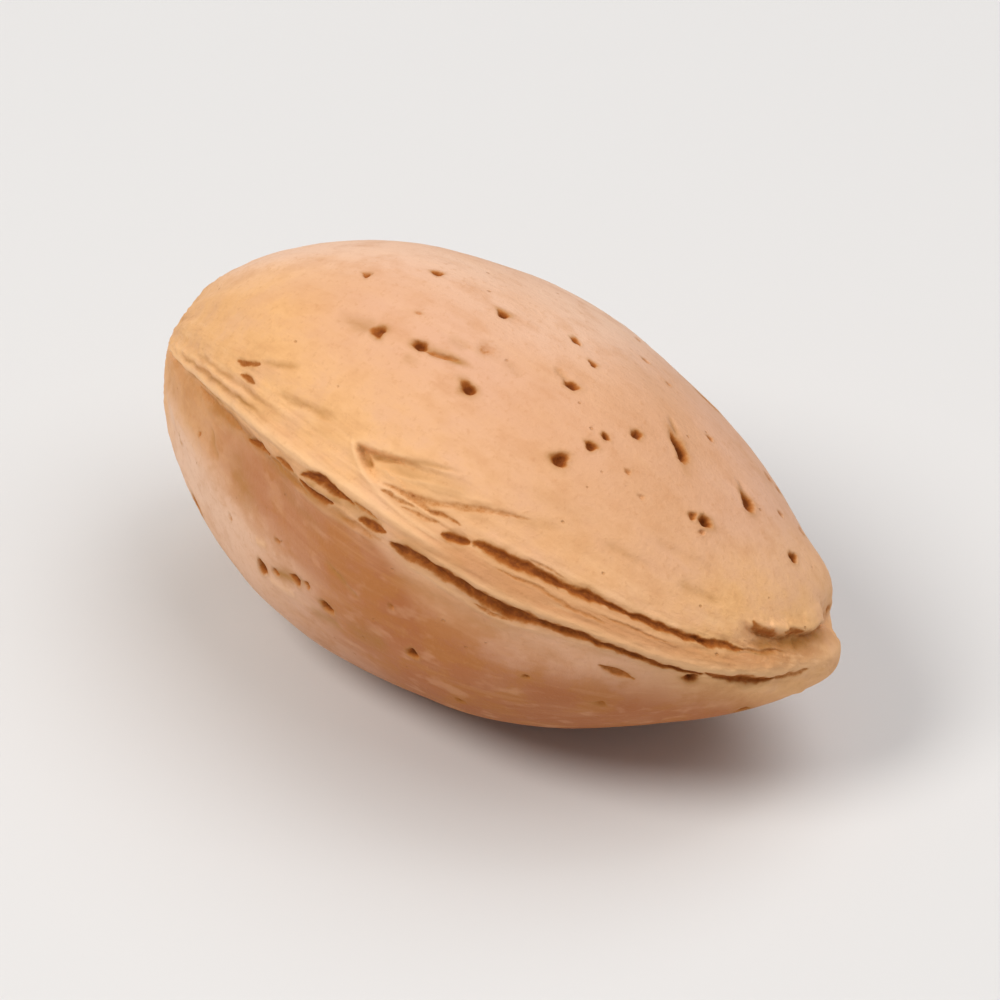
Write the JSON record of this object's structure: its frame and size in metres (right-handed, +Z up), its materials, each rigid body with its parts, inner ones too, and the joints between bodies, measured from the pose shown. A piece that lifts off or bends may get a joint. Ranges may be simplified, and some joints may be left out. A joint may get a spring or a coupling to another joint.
{
  "type": "almond in its shell",
  "caption": "Almond in its closed shell: an oval, keeled nut with pits, a stem scar and a blunt tip, lying on a small flat spot of its lower cheek.",
  "frame": {"origin": "on the surface the nut lies on, under the middle of its bounding box", "axes": "+X along the nut from the stem end to the tip, -Y towards the keel (the raised seam), +Z up"},
  "size_m": [0.0352, 0.0218, 0.0187],
  "materials": {
    "shell": "dry, fine-grained peach-brown nutshell, matt with a faint waxy sheen, darker in its pits and grooves"
  },
  "bodies": {
    "root": {"almond_shell": "shell"}
  },
  "joints": []
}
